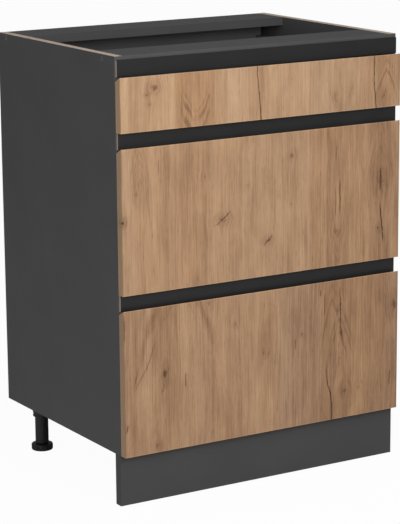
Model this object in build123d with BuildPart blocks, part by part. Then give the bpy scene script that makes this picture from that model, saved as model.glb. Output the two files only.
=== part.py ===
from build123d import *
import os

# Handleless kitchen base cabinet with one shallow and two deep drawers.
# Millimetres, +Z up, the drawer fronts face -Y. The origin is on the floor, at the middle of the
# cabinet's width and of its depth over the closed fronts.

# ---- Driving dimensions: carcass -------------------------------------------------------------
cabinet_width = 600.0
carcass_height = 720.0
carcass_depth = 450.0
plinth_height = 96.0
board = 16.0                 # carcass boards and drawer fronts
hardboard = 3.0              # back panel and drawer bottoms
rail_width = 90.0
rebate_width = 8.0           # rebate of the side panels that takes the back panel
back_panel_inset = 4.0       # the back panel stops this far from the carcass's top and underside
fit_play = 0.2               # play of a board or pin in its groove or hole

# ---- Driving dimensions: drawer fronts and grip gaps, from the top down ----------------------
front_gap = 0.5              # closed fronts stand this far off the carcass
front_width = 599.0
grip_gap = 27.5
top_gap = 36.0
front_heights = {"top": 97.5, "middle": 262.0, "bottom": 269.5}
bevel_land = 1.0             # flat that the grip bevel leaves on a front's top edge
bevel_drop = 8.0             # of the bevel, from the front's face to its rear
strip_width = 596.0
strip_height = 30.0
strip_thickness = 5.0
strip_drop = 6.5             # top of the upper strip below the carcass's top
strip_clearance = 0.5        # top of a lower strip below the front above it

# ---- Driving dimensions: drawer boxes --------------------------------------------------------
drawer_depth = 430.0
drawer_board = 12.0
box_heights = {"top": 84.0, "middle": 200.0, "bottom": 200.0}
back_rises = {"top": 19.0, "middle": 0.0, "bottom": 0.0}  # drawer back above the sides
box_lifts = {"top": 9.5, "middle": 9.5, "bottom": 26.0}   # box above the front's lower edge
bottom_lift = 8.0            # drawer bottom above the lower edge of the sides
groove_depth = 5.0           # of the groove for the bottom, in all four walls

# ---- Driving dimensions: telescopic runners --------------------------------------------------
runner_length = 400.0
runner_setback = 3.0         # from the carcass's front edge
runner_lift = 40.0           # runner's middle above the drawer box's lower edge
runner_width = 12.7          # gap between side panel and drawer that a runner fills
sheet = 1.2
channel_height = 45.0        # cabinet channel
slide_height = 34.4          # intermediate member
bar_height = 23.8            # drawer member
cage_sheet = 0.6
cage_length = 180.0
cage_setback = 110.0         # cages from the runner's front end, with the drawer closed
screw_rows = (34.0, 258.0)   # runner screws from the runner's front end

# ---- Driving dimensions: legs and plinth -----------------------------------------------------
leg_inset_side = 42.0        # leg's axis from the cabinet's outer side
leg_inset_front = 46.0
leg_inset_back = 58.0
tube_radius = 13.0
tube_bore = 10.0
tube_flats = 16
foot_radius = 21.0
foot_height = 13.0
stem_radius = 5.0
socket_height = 28.0
flange_radius = 25.0         # of the socket's flange, to its corners
flange_thickness = 3.0
collar_radius = 17.0
tube_play = 0.1              # play of a tube in its socket and in a plinth clip
tube_floor = 8.0             # thickness of the tube's lower end, which the foot's stem screws into
stem_height = 70.0           # top of the stem above the floor
foot_flats = 20
foot_grips = 10
grip_width = 3.0
clip_low = 36.0              # plinth clip above the floor
clip_height = 22.0
clip_wall = 2.5
clip_mouth = 20.0            # width of the clip's open side
clip_plate = (44.0, 3.0)     # width and thickness of the clip's screw plate
clip_neck = 5.0
plinth_thickness = 18.0
plinth_setback = 1.5
plinth_floor_gap = 1.0
plinth_top_gap = 0.5

# ---- Driving dimensions: joinery -------------------------------------------------------------
rail_screw_rows = (45.0, 418.0)      # from the carcass's front edge
rail_dowel_rows = (72.0, 380.0)
cam_rows = (95.0, 350.0)             # cams and bolts of the bottom panel
bottom_dowel_rows = (50.0, 400.0)
dowel_radius = 4.0
dowel_in_side = 12.0
dowel_in_board = 18.0
cam_radius = 7.5
cam_depth = 12.0
cam_inset = 24.0                     # cam's axis from the end of its board
bolt_radius = 3.0
bolt_in_side = 11.0
drawer_cam_radius = 6.0
drawer_cam_depth = 9.5
drawer_cam_inset = 24.0
drawer_cam_lifts = {"top": (60.0,), "middle": (30.0, 160.0), "bottom": (30.0, 160.0)}
drawer_dowel_lifts = {"top": (25.0, 62.0), "middle": (50.0, 150.0), "bottom": (50.0, 150.0)}
drawer_dowel_radius = 3.0
drawer_dowel_in_back = 8.0
drawer_dowel_in_side = 16.0
pin_radius = 2.5                     # pins of the grip strips
pin_in_side = 12.0
pin_in_strip = 3.5
screw_radius = 1.9
screw_head_radius = 3.5
screw_length = 10.0                  # runner screw's length in the wood
screw_flats = 6
pin_flats = 8
cam_flats = 12
rail_screw_radius = 3.0
rail_screw_head_radius = 4.8
rail_screw_head = 2.0
rail_screw_length = 48.0
worktop_hole_radius = 2.5
worktop_hole_spacing = 400.0

# ---- Places worked out from them -------------------------------------------------------------
overall_depth = carcass_depth + front_gap + board
carcass_top = plinth_height + carcass_height
front_face = -overall_depth / 2
front_back = front_face + board
carcass_front = front_back + front_gap
carcass_back = carcass_front + carcass_depth
board_back = carcass_back - hardboard         # rear edge of the bottom panel and rear rail
half_width = cabinet_width / 2
inner_x = half_width - board
drawer_half = inner_x - runner_width
drawer_inner = drawer_half - drawer_board
box_rear = front_back + drawer_depth
side_rear = box_rear - drawer_board           # rear ends of the drawer sides
rail_middle = carcass_top - board / 2
bottom_middle = plinth_height + board / 2
drawers = ("top", "middle", "bottom")
sides = {"left": -1, "right": 1}

front_tops = {"top": carcass_top - top_gap}
front_tops["middle"] = front_tops["top"] - front_heights["top"] - grip_gap
front_tops["bottom"] = front_tops["middle"] - front_heights["middle"] - grip_gap
front_bottoms = {name: front_tops[name] - front_heights[name] for name in drawers}
box_bottoms = {name: front_bottoms[name] + box_lifts[name] for name in drawers}
runner_middles = {name: box_bottoms[name] + runner_lift for name in drawers}
strip_tops = {
    "top": carcass_top - strip_drop,
    "middle": front_bottoms["top"] - strip_clearance,
    "lower": front_bottoms["middle"] - strip_clearance,
}
strip_middles = {name: top - strip_height / 2 for name, top in strip_tops.items()}
runner_front = carcass_front + runner_setback
screw_places = [runner_front + row for row in screw_rows]
leg_rows = {"front": carcass_front + leg_inset_front, "rear": carcass_back - leg_inset_back}
leg_column = half_width - leg_inset_side

os.makedirs("parts", exist_ok=True)


def save(part, name):
    """Labels a finished sub-part and writes it as a node."""
    part.label = name
    export_step(part, f"parts/{name}.step")


def block(x, y, z, mode=Mode.ADD):
    """A box between two places on each axis, given in either order."""
    middle = [(low + high) / 2 for low, high in (x, y, z)]
    with Locations(tuple(middle)):
        Box(abs(x[1] - x[0]), abs(y[1] - y[0]), abs(z[1] - z[0]), mode=mode)


def bar(start, direction, length, radius, mode=Mode.ADD, flats=pin_flats):
    """A pin, screw or cam with flats, or the hole for one. Few flats keep small parts light."""
    with BuildSketch(Plane(origin=start, z_dir=direction)) as section:
        RegularPolygon(radius, flats)
    extrude(section.sketch, amount=length, mode=mode)


# ---- Carcass ---------------------------------------------------------------------------------
def make_side_panel(side, sign):
    """A side panel, rebated for the back panel and drilled for everything that meets it."""
    with BuildPart() as side_panel:
        block(
            (sign * inner_x, sign * half_width),
            (carcass_front, carcass_back),
            (plinth_height, carcass_top),
        )
        block(
            (sign * inner_x, sign * (inner_x + rebate_width)),
            (board_back, carcass_back),
            (plinth_height, carcass_top),
            Mode.SUBTRACT,
        )
        for row in rail_screw_rows:
            y = carcass_front + row
            outer = (sign * half_width, y, rail_middle)
            bar(outer, (-sign, 0, 0), board, rail_screw_radius, Mode.SUBTRACT)
            bar(outer, (-sign, 0, 0), rail_screw_head, rail_screw_head_radius, Mode.SUBTRACT)
        dowel_places = [(row, rail_middle) for row in rail_dowel_rows]
        dowel_places += [(row, bottom_middle) for row in bottom_dowel_rows]
        for row, z in dowel_places:
            inner = (sign * inner_x, carcass_front + row, z)
            bar(inner, (sign, 0, 0), dowel_in_side, dowel_radius, Mode.SUBTRACT)
        for row in cam_rows:
            inner = (sign * inner_x, carcass_front + row, bottom_middle)
            bar(inner, (sign, 0, 0), bolt_in_side, bolt_radius, Mode.SUBTRACT)
        for z in runner_middles.values():
            for y in screw_places:
                inner = (sign * inner_x, y, z)
                bar(inner, (sign, 0, 0), screw_length, screw_radius, Mode.SUBTRACT, screw_flats)
        for z in strip_middles.values():
            edge = (sign * (half_width - board / 2), carcass_front, z)
            bar(edge, (0, 1, 0), pin_in_side, pin_radius, Mode.SUBTRACT)
    save(side_panel.part, f"side_panel_{side}")


def make_bottom_panel():
    """The bottom panel between the sides, with its cams let in from below."""
    with BuildPart() as bottom_panel:
        block((-inner_x, inner_x), (carcass_front, board_back), (plinth_height, plinth_height + board))
        for sign in sides.values():
            end = sign * inner_x
            for row in bottom_dowel_rows:
                start = (end, carcass_front + row, bottom_middle)
                bar(start, (-sign, 0, 0), dowel_in_board, dowel_radius, Mode.SUBTRACT)
            for row in cam_rows:
                start = (end, carcass_front + row, bottom_middle)
                bar(start, (-sign, 0, 0), cam_inset, bolt_radius, Mode.SUBTRACT)
                pocket = (end - sign * cam_inset, carcass_front + row, plinth_height)
                bar(pocket, (0, 0, 1), cam_depth, cam_radius, Mode.SUBTRACT, cam_flats)
    save(bottom_panel.part, "bottom_panel")


def make_rail(name, near, far, screw_row, dowel_row):
    """A flat cross rail, with end holes for screws and dowels and two holes for the worktop."""
    with BuildPart() as rail:
        block((-inner_x, inner_x), (near, far), (carcass_top - board, carcass_top))
        for sign in sides.values():
            screw_start = (sign * inner_x, carcass_front + screw_row, rail_middle)
            bar(screw_start, (-sign, 0, 0), rail_screw_length - board, rail_screw_radius, Mode.SUBTRACT)
            dowel_start = (sign * inner_x, carcass_front + dowel_row, rail_middle)
            bar(dowel_start, (-sign, 0, 0), dowel_in_board, dowel_radius, Mode.SUBTRACT)
        with BuildSketch(Plane.XY.offset(carcass_top)):
            with Locations((0, (near + far) / 2)):
                with GridLocations(worktop_hole_spacing, 0, 2, 1):
                    Circle(worktop_hole_radius)
        extrude(amount=-board, mode=Mode.SUBTRACT)
    save(rail.part, name)


def make_back_panel():
    """The hardboard back, in the rebates of the sides and over the rear edges of the boards."""
    half = inner_x + rebate_width - fit_play
    with BuildPart() as back_panel:
        block(
            (-half, half),
            (board_back, carcass_back),
            (plinth_height + back_panel_inset, carcass_top - back_panel_inset),
        )
    save(back_panel.part, "back_panel")


def make_grip_strip(name):
    """A thin dark strip, pinned to the front edges of the side panels."""
    top = strip_tops[name]
    with BuildPart() as grip_strip:
        block(
            (-strip_width / 2, strip_width / 2),
            (carcass_front - strip_thickness, carcass_front),
            (top - strip_height, top),
        )
        for sign in sides.values():
            start = (sign * (half_width - board / 2), carcass_front, strip_middles[name])
            bar(start, (0, -1, 0), pin_in_strip, pin_radius, Mode.SUBTRACT)
    save(grip_strip.part, f"grip_strip_{name}")


def make_carcass_joinery():
    """Rail screws, dowels, cams with their bolts, and the pins of the grip strips."""
    with BuildPart() as rail_screws:
        for sign in sides.values():
            for row in rail_screw_rows:
                start = (sign * half_width, carcass_front + row, rail_middle)
                bar(start, (-sign, 0, 0), rail_screw_head, rail_screw_head_radius)
                bar(start, (-sign, 0, 0), rail_screw_length, rail_screw_radius)
    save(rail_screws.part, "rail_screws")

    with BuildPart() as dowels:
        dowel_places = [(row, rail_middle) for row in rail_dowel_rows]
        dowel_places += [(row, bottom_middle) for row in bottom_dowel_rows]
        for sign in sides.values():
            for row, z in dowel_places:
                start = (sign * (inner_x + dowel_in_side), carcass_front + row, z)
                bar(start, (-sign, 0, 0), dowel_in_side + dowel_in_board, dowel_radius)
    save(dowels.part, "carcass_dowels")

    with BuildPart() as cams:
        for sign in sides.values():
            for row in cam_rows:
                y = carcass_front + row
                bolt_start = (sign * (inner_x + bolt_in_side), y, bottom_middle)
                bolt_length = bolt_in_side + cam_inset - cam_radius
                bar(bolt_start, (-sign, 0, 0), bolt_length, bolt_radius)
                cam_start = (sign * (inner_x - cam_inset), y, plinth_height)
                bar(cam_start, (0, 0, 1), cam_depth, cam_radius, flats=cam_flats)
    save(cams.part, "carcass_cams")

    with BuildPart() as strip_pins:
        for sign in sides.values():
            for z in strip_middles.values():
                start = (sign * (half_width - board / 2), carcass_front - pin_in_strip, z)
                bar(start, (0, 1, 0), pin_in_strip + pin_in_side, pin_radius)
    save(strip_pins.part, "strip_pins")


# ---- Drawers ---------------------------------------------------------------------------------
def bottom_slot(name):
    """Lower and upper face of the groove that holds a drawer's bottom."""
    low = box_bottoms[name] + bottom_lift
    return low, low + hardboard + fit_play


def make_drawer_front(name):
    """A front whose top edge falls away to the rear, so that fingers can hook behind it."""
    low, high = front_bottoms[name], front_tops[name]
    with BuildPart() as drawer_front:
        with BuildSketch(Plane.YZ.offset(-front_width / 2)):
            with BuildLine():
                Polyline(
                    (front_face, low),
                    (front_back, low),
                    (front_back, high - bevel_drop),
                    (front_face + bevel_land, high),
                    (front_face, high),
                    close=True,
                )
            make_face()
        extrude(amount=front_width)
        block(
            (-drawer_inner - groove_depth, drawer_inner + groove_depth),
            (front_back - groove_depth, front_back),
            bottom_slot(name),
            Mode.SUBTRACT,
        )
        for sign in sides.values():
            for lift in drawer_cam_lifts[name]:
                start = (sign * (drawer_inner + drawer_board / 2), front_back, box_bottoms[name] + lift)
                bar(start, (0, -1, 0), bolt_in_side, bolt_radius, Mode.SUBTRACT)
    save(drawer_front.part, f"drawer_front_{name}")


def make_drawer_side(name, side, sign):
    """A drawer side: groove for the bottom, pockets for the front's cams, holes for the dowels."""
    low = box_bottoms[name]
    middle_x = sign * (drawer_inner + drawer_board / 2)
    with BuildPart() as drawer_side:
        block(
            (sign * drawer_inner, sign * drawer_half),
            (front_back, side_rear),
            (low, low + box_heights[name]),
        )
        block(
            (sign * drawer_inner, sign * (drawer_inner + groove_depth)),
            (front_back, side_rear),
            bottom_slot(name),
            Mode.SUBTRACT,
        )
        for lift in drawer_cam_lifts[name]:
            bar((middle_x, front_back, low + lift), (0, 1, 0), drawer_cam_inset, bolt_radius, Mode.SUBTRACT)
            pocket = (sign * drawer_inner, front_back + drawer_cam_inset, low + lift)
            bar(pocket, (sign, 0, 0), drawer_cam_depth, drawer_cam_radius, Mode.SUBTRACT, cam_flats)
        for lift in drawer_dowel_lifts[name]:
            start = (middle_x, side_rear, low + lift)
            bar(start, (0, -1, 0), drawer_dowel_in_side, drawer_dowel_radius, Mode.SUBTRACT)
        for y in screw_places:
            start = (sign * drawer_half, y, runner_middles[name])
            bar(start, (-sign, 0, 0), screw_length, screw_radius, Mode.SUBTRACT, screw_flats)
    save(drawer_side.part, f"drawer_side_{side}_{name}")


def make_drawer_back(name):
    """A drawer's back, as wide as the box, dowelled to the rear ends of the sides."""
    low = box_bottoms[name]
    high = low + box_heights[name] + back_rises[name]
    with BuildPart() as drawer_back:
        block((-drawer_half, drawer_half), (side_rear, box_rear), (low, high))
        block(
            (-drawer_inner - groove_depth, drawer_inner + groove_depth),
            (side_rear, side_rear + groove_depth),
            bottom_slot(name),
            Mode.SUBTRACT,
        )
        for sign in sides.values():
            for lift in drawer_dowel_lifts[name]:
                start = (sign * (drawer_inner + drawer_board / 2), side_rear, low + lift)
                bar(start, (0, 1, 0), drawer_dowel_in_back, drawer_dowel_radius, Mode.SUBTRACT)
    save(drawer_back.part, f"drawer_back_{name}")


def make_drawer_bottom(name):
    """A hardboard bottom, held in the grooves of all four walls."""
    reach = groove_depth - fit_play
    low = bottom_slot(name)[0]
    with BuildPart() as drawer_bottom:
        block(
            (-drawer_inner - reach, drawer_inner + reach),
            (front_back - reach, side_rear + reach),
            (low, low + hardboard),
        )
    save(drawer_bottom.part, f"drawer_bottom_{name}")


def make_drawer_fittings(name):
    """Cams and bolts that pull the front onto the sides, rear dowels, and the runner's screws."""
    with BuildPart() as fittings:
        for sign in sides.values():
            middle_x = sign * (drawer_inner + drawer_board / 2)
            for lift in drawer_cam_lifts[name]:
                z = box_bottoms[name] + lift
                bolt_length = bolt_in_side + drawer_cam_inset - drawer_cam_radius
                bar((middle_x, front_back - bolt_in_side, z), (0, 1, 0), bolt_length, bolt_radius)
                cam_start = (sign * drawer_inner, front_back + drawer_cam_inset, z)
                bar(cam_start, (sign, 0, 0), drawer_cam_depth, drawer_cam_radius, flats=cam_flats)
            for lift in drawer_dowel_lifts[name]:
                start = (middle_x, side_rear - drawer_dowel_in_side, box_bottoms[name] + lift)
                dowel_length = drawer_dowel_in_side + drawer_dowel_in_back
                bar(start, (0, 1, 0), dowel_length, drawer_dowel_radius)
            for y in screw_places:
                head_start = (sign * (drawer_half + sheet), y, runner_middles[name])
                bar(head_start, (-sign, 0, 0), sheet, screw_head_radius, flats=screw_flats)
                bar(head_start, (-sign, 0, 0), sheet + screw_length, screw_radius, flats=screw_flats)
    save(fittings.part, f"drawer_fittings_{name}")


# ---- Telescopic runners ----------------------------------------------------------------------
# A runner's section has its first axis from the side panel towards the drawer, and its second
# axis up from the runner's middle. One outline serves both sides of the cabinet.
channel_outline = (
    (0, channel_height / 2),
    (10.5, channel_height / 2),
    (10.5, channel_height / 2 - 2.2),
    (9.3, channel_height / 2 - 2.2),
    (9.3, channel_height / 2 - sheet),
    (sheet, channel_height / 2 - sheet),
)
slide_outline = (
    (2.4, slide_height / 2),
    (11.0, slide_height / 2),
    (11.0, slide_height / 2 - sheet),
    (2.4 + sheet, slide_height / 2 - sheet),
)
bar_outline = (
    (runner_width, bar_height / 2),
    (4.6, bar_height / 2),
    (4.6, bar_height / 2 - sheet),
    (runner_width - sheet, bar_height / 2 - sheet),
)
outer_race = (channel_height + slide_height) / 4 - sheet / 2   # ball rows above the middle
inner_race = (slide_height + bar_height) / 4 - sheet / 2
outer_cage_outline = (
    (1.5, outer_race + cage_sheet / 2),
    (7.8, outer_race + cage_sheet / 2),
    (7.8, outer_race - cage_sheet / 2),
    (1.5 + cage_sheet, outer_race - cage_sheet / 2),
)
inner_cage_outline = (
    (3.8, inner_race + cage_sheet / 2),
    (10.2, inner_race + cage_sheet / 2),
    (10.2, inner_race - cage_sheet / 2),
    (3.8 + cage_sheet, inner_race - cage_sheet / 2),
)


def add_member(outline, sign, middle_z, setback, length):
    """A bent sheet member: the upper half of its section is mirrored, then drawn out to length."""
    upper = [(sign * (inner_x - across), middle_z + up) for across, up in outline]
    lower = [(sign * (inner_x - across), middle_z - up) for across, up in outline]
    start = runner_front + setback
    with BuildSketch(Plane(origin=(0, start, 0), x_dir=(1, 0, 0), z_dir=(0, -1, 0))) as section:
        with BuildLine():
            Polyline(*upper, *reversed(lower), close=True)
        make_face()
    extrude(section.sketch, amount=-length)


def screw_holes(name, across, sign):
    """Two holes through a member's web for its flush screw heads."""
    for y in screw_places:
        start = (sign * (inner_x - across), y, runner_middles[name])
        bar(start, (-sign, 0, 0), sheet, screw_head_radius, Mode.SUBTRACT, screw_flats)


def make_runner(name):
    """The five nodes of one drawer's runners, each holding its left and its right piece."""
    middle_z = runner_middles[name]
    with BuildPart() as channel:
        for sign in sides.values():
            add_member(channel_outline, sign, middle_z, 0, runner_length)
            screw_holes(name, 0, sign)
    save(channel.part, f"runner_channel_{name}")

    with BuildPart() as slide:
        for sign in sides.values():
            add_member(slide_outline, sign, middle_z, 0, runner_length)
    save(slide.part, f"runner_slide_{name}")

    with BuildPart() as drawer_bar:
        for sign in sides.values():
            add_member(bar_outline, sign, middle_z, 0, runner_length)
            screw_holes(name, runner_width - sheet, sign)
    save(drawer_bar.part, f"runner_bar_{name}")

    with BuildPart() as outer_cage:
        for sign in sides.values():
            add_member(outer_cage_outline, sign, middle_z, cage_setback, cage_length)
    save(outer_cage.part, f"ball_cage_outer_{name}")

    with BuildPart() as inner_cage:
        for sign in sides.values():
            add_member(inner_cage_outline, sign, middle_z, cage_setback, cage_length)
    save(inner_cage.part, f"ball_cage_inner_{name}")


def make_channel_screws():
    """The flush screws that hold the cabinet channels to the side panels."""
    with BuildPart() as channel_screws:
        for sign in sides.values():
            for middle_z in runner_middles.values():
                for y in screw_places:
                    start = (sign * (inner_x - sheet), y, middle_z)
                    bar(start, (sign, 0, 0), sheet, screw_head_radius, flats=screw_flats)
                    bar(start, (sign, 0, 0), sheet + screw_length, screw_radius, flats=screw_flats)
    save(channel_screws.part, "channel_screws")


# ---- Legs and plinth -------------------------------------------------------------------------
def make_leg_sockets():
    """The four sockets under the bottom panel: a flange with cut corners and a round collar."""
    with BuildPart() as leg_sockets:
        for sign in sides.values():
            for y in leg_rows.values():
                place = (sign * leg_column, y)
                with BuildSketch(Plane.XY.offset(plinth_height)) as flange:
                    with Locations(place):
                        RegularPolygon(flange_radius, 8)
                extrude(flange.sketch, amount=-flange_thickness)
                with BuildSketch(Plane.XY.offset(plinth_height)) as collar:
                    with Locations(place):
                        RegularPolygon(collar_radius, tube_flats)
                extrude(collar.sketch, amount=-socket_height)
                with BuildSketch(Plane.XY.offset(plinth_height)) as bore:
                    with Locations(place):
                        RegularPolygon(tube_radius + tube_play, tube_flats, major_radius=False)
                extrude(bore.sketch, amount=-socket_height, mode=Mode.SUBTRACT)
    save(leg_sockets.part, "leg_sockets")


def make_leg(name, x, y):
    """A leg's tube with its threaded lower end, and the screw foot that turns in it."""
    tube_bottom = foot_height + 1.0
    with BuildPart() as leg_tube:
        with BuildSketch(Plane.XY.offset(tube_bottom)):
            with Locations((x, y)):
                RegularPolygon(tube_radius, tube_flats)
                RegularPolygon(stem_radius + fit_play, pin_flats, mode=Mode.SUBTRACT)
        extrude(amount=plinth_height - tube_bottom)
        with BuildSketch(Plane.XY.offset(tube_bottom + tube_floor)):
            with Locations((x, y)):
                RegularPolygon(tube_bore, tube_flats)
        extrude(amount=plinth_height - tube_bottom - tube_floor, mode=Mode.SUBTRACT)
    save(leg_tube.part, f"leg_tube_{name}")

    with BuildPart() as leg_foot:
        with BuildSketch():
            with Locations((x, y)):
                RegularPolygon(foot_radius, foot_flats)
        extrude(amount=foot_height)
        chamfer(leg_foot.edges().group_by(Axis.Z)[0], length=1.2)
        with BuildSketch():
            with Locations((x, y)):
                with PolarLocations(foot_radius, foot_grips, start_angle=180 / foot_flats):
                    Rectangle(grip_width, grip_width)
        extrude(amount=foot_height, mode=Mode.SUBTRACT)
        with BuildSketch(Plane.XY.offset(foot_height)):
            with Locations((x, y)):
                RegularPolygon(stem_radius, pin_flats)
        extrude(amount=stem_height - foot_height)
    save(leg_foot.part, f"leg_foot_{name}")


def make_plinth():
    """The plinth board and the two sprung clips that grip the front legs."""
    near = carcass_front + plinth_setback
    far = near + plinth_thickness
    with BuildPart() as plinth_board:
        block((-half_width, half_width), (near, far), (plinth_floor_gap, plinth_height - plinth_top_gap))
    save(plinth_board.part, "plinth_board")

    ring_inner = tube_radius + tube_play
    ring_outer = ring_inner + clip_wall
    neck_end = leg_rows["front"] - (ring_inner + ring_outer) / 2
    with BuildPart() as plinth_clips:
        for sign in sides.values():
            x, y = sign * leg_column, leg_rows["front"]
            with BuildSketch(Plane.XY.offset(clip_low)) as clip:
                with Locations((x, y)):
                    Circle(ring_outer)
                    Circle(ring_inner, mode=Mode.SUBTRACT)
                with Locations((x, y + ring_outer)):
                    Rectangle(clip_mouth, ring_outer, mode=Mode.SUBTRACT)
                with Locations((x, (far + neck_end) / 2)):
                    Rectangle(clip_neck, neck_end - far)
                with Locations((x, far + clip_plate[1] / 2)):
                    Rectangle(*clip_plate)
            extrude(clip.sketch, amount=clip_height)
    save(plinth_clips.part, "plinth_clips")


for side, sign in sides.items():
    make_side_panel(side, sign)
make_bottom_panel()
make_rail("front_rail", carcass_front, carcass_front + rail_width, rail_screw_rows[0], rail_dowel_rows[0])
make_rail("rear_rail", board_back - rail_width, board_back, rail_screw_rows[1], rail_dowel_rows[1])
make_back_panel()
for name in strip_tops:
    make_grip_strip(name)
make_carcass_joinery()

for name in drawers:
    make_drawer_front(name)
    for side, sign in sides.items():
        make_drawer_side(name, side, sign)
    make_drawer_back(name)
    make_drawer_bottom(name)
    make_drawer_fittings(name)
    make_runner(name)
make_channel_screws()

make_leg_sockets()
for side, sign in sides.items():
    for row, y in leg_rows.items():
        make_leg(f"{row}_{side}", sign * leg_column, y)
make_plinth()
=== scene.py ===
"""Base cabinet with three drawers: detailed pieces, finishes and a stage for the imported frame.

Lengths are in millimetres up to the helpers that hand them to Blender.
"""

import math
from collections import namedtuple

import bmesh
import bpy
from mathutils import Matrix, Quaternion, Vector


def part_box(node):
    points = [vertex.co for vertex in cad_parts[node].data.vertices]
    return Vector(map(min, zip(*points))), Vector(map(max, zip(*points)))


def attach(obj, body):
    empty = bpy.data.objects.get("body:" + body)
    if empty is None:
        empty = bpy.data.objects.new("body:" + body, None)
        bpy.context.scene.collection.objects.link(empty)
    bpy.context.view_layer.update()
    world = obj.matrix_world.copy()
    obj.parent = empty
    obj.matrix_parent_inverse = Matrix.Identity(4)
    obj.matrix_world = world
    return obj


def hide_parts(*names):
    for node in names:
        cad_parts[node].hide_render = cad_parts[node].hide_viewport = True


bl_info = {
    "name": "Drawer Base Cabinet",
    "version": (1, 0, 0),
    "blender": (4, 5, 0),
    "location": "3D View > Sidebar > Cabinet",
    "description": "Models and finishes a base cabinet with three drawers on ball runners",
    "category": "Object",
}

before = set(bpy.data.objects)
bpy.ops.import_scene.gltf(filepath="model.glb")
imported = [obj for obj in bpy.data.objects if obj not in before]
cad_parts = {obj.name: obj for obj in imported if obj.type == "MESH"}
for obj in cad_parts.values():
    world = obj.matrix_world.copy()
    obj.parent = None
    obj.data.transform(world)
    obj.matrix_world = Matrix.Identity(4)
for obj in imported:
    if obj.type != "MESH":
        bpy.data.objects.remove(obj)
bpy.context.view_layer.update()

MM = 0.001
AXES = "XYZ"
SIDES = (-1, 1)
DRAWERS = ("top", "middle", "bottom")
LEGS = [(row, side) for row in ("front", "rear") for side in ("left", "right")]


Place = namedtuple("Place", "x y z")


def box(node):
    """A CAD node's lowest and highest corner."""
    return [Place(*(value / MM for value in corner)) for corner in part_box(node)]


def middle(node):
    """The middle of a CAD node's box."""
    return Place(*((low + high) / 2 for low, high in zip(*box(node))))


def shifted(place, *move):
    """A place after a move by x, y and z."""
    return Place(*(a + b for a, b in zip(place, move)))


def metres(place):
    """A place or a move in metres, for Blender."""
    return Vector([value * MM for value in place])


panel_low, panel_high = box("side_panel_right")
INNER_X, OUTER_X = panel_low.x, panel_high.x
CARCASS_FRONT = panel_low.y
CARCASS_TOP, CARCASS_LOW = panel_high.z, panel_low.z
FRONT_BACK = box("drawer_front_top")[1].y
DRAWER_INNER, DRAWER_OUTER = (corner.x for corner in box("drawer_side_right_top"))
RUNNER_FRONT, RUNNER_REAR = (corner.y for corner in box("runner_channel_top"))
RUNNER_LENGTH = RUNNER_REAR - RUNNER_FRONT
RUNNER_MIDDLES = {name: middle(f"runner_channel_{name}").z for name in DRAWERS}

# Rows of fittings: from the carcass's or the runner's front, or above a drawer box's lower edge.
RAIL_SCREW_ROWS, CARCASS_CAM_ROWS = (45, 418), (95, 350)
RUNNER_SCREW_ROWS = (34, 258)
CAM_LIFTS = {"top": (60,), "middle": (30, 160), "bottom": (30, 160)}
DOWEL_LIFTS = {"top": (25, 62), "middle": (50, 150), "bottom": (50, 150)}
HALF_BOARD = 8
PIN_RADIUS = 2.9
FRONT_BEVEL_DROP, FRONT_LAND = 8, 1


# ---- Modelling helpers -------------------------------------------------------------------------
def leave_edit():
    """Object mode, with nothing selected."""
    if bpy.context.object and bpy.context.object.mode != "OBJECT":
        bpy.ops.object.mode_set(mode="OBJECT")
    bpy.ops.object.select_all(action="DESELECT")


def hold(*pieces):
    """Selects these pieces alone. The first one is the active one."""
    leave_edit()
    for piece in pieces:
        piece.select_set(True)
    bpy.context.view_layer.objects.active = pieces[0]


def settle(piece):
    """Moves a piece's place, turn and size into its mesh."""
    hold(piece)
    bpy.ops.object.transform_apply(location=True, rotation=True, scale=True)
    return piece


def block(low, high):
    """A box between two opposite corners, to be shaped further."""
    leave_edit()
    centre = [(a + b) / 2 for a, b in zip(low, high)]
    bpy.ops.mesh.primitive_cube_add(size=1, location=metres(centre))
    bpy.context.object.scale = metres([abs(b - a) for a, b in zip(low, high)])
    return settle(bpy.context.object)


def rod(start, axis, length, radius, sides=24):
    """A round bar from its start along X, Y or Z."""
    leave_edit()
    turn = {"X": (0, math.pi / 2, 0), "Y": (-math.pi / 2, 0, 0), "Z": (0, 0, 0)}[axis]
    centre = metres(start)
    centre[AXES.index(axis)] += length * MM / 2
    bpy.ops.mesh.primitive_cylinder_add(
        vertices=sides, radius=radius * MM, depth=abs(length) * MM, location=centre, rotation=turn,
    )
    return settle(bpy.context.object)


def pick_edges(piece, test):
    """Selects, in edit mode, the edges whose middle and direction pass the test."""
    hold(piece)
    bpy.ops.object.mode_set(mode="EDIT")
    bpy.ops.mesh.select_mode(type="EDGE")
    bpy.ops.mesh.select_all(action="DESELECT")
    mesh = bmesh.from_edit_mesh(piece.data)
    for edge in mesh.edges:
        start, end = (vert.co / MM for vert in edge.verts)
        if test((start + end) / 2, (end - start).normalized()):
            edge.select_set(True)
    mesh.select_flush_mode()
    bmesh.update_edit_mesh(piece.data)


def draw(points):
    """Draws an open line from point to point by extruding one vertex. Stays in edit mode."""
    points = [metres(point) for point in points]
    leave_edit()
    bpy.ops.mesh.primitive_plane_add(size=0.001, location=points[0])
    bpy.ops.object.mode_set(mode="EDIT")
    bpy.ops.mesh.select_mode(type="VERT")
    bpy.ops.mesh.select_all(action="SELECT")
    bpy.ops.mesh.merge(type="CENTER")
    for start, end in zip(points, points[1:]):
        bpy.ops.mesh.extrude_vertices_move(TRANSFORM_OT_translate={"value": end - start})
    return bpy.context.object


def close_up(metres=1e-6):
    """Merges doubles in edit mode and points all faces outwards."""
    bpy.ops.mesh.select_mode(type="VERT")
    bpy.ops.mesh.select_all(action="SELECT")
    bpy.ops.mesh.remove_doubles(threshold=metres)
    bpy.ops.mesh.normals_make_consistent(inside=False)


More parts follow.
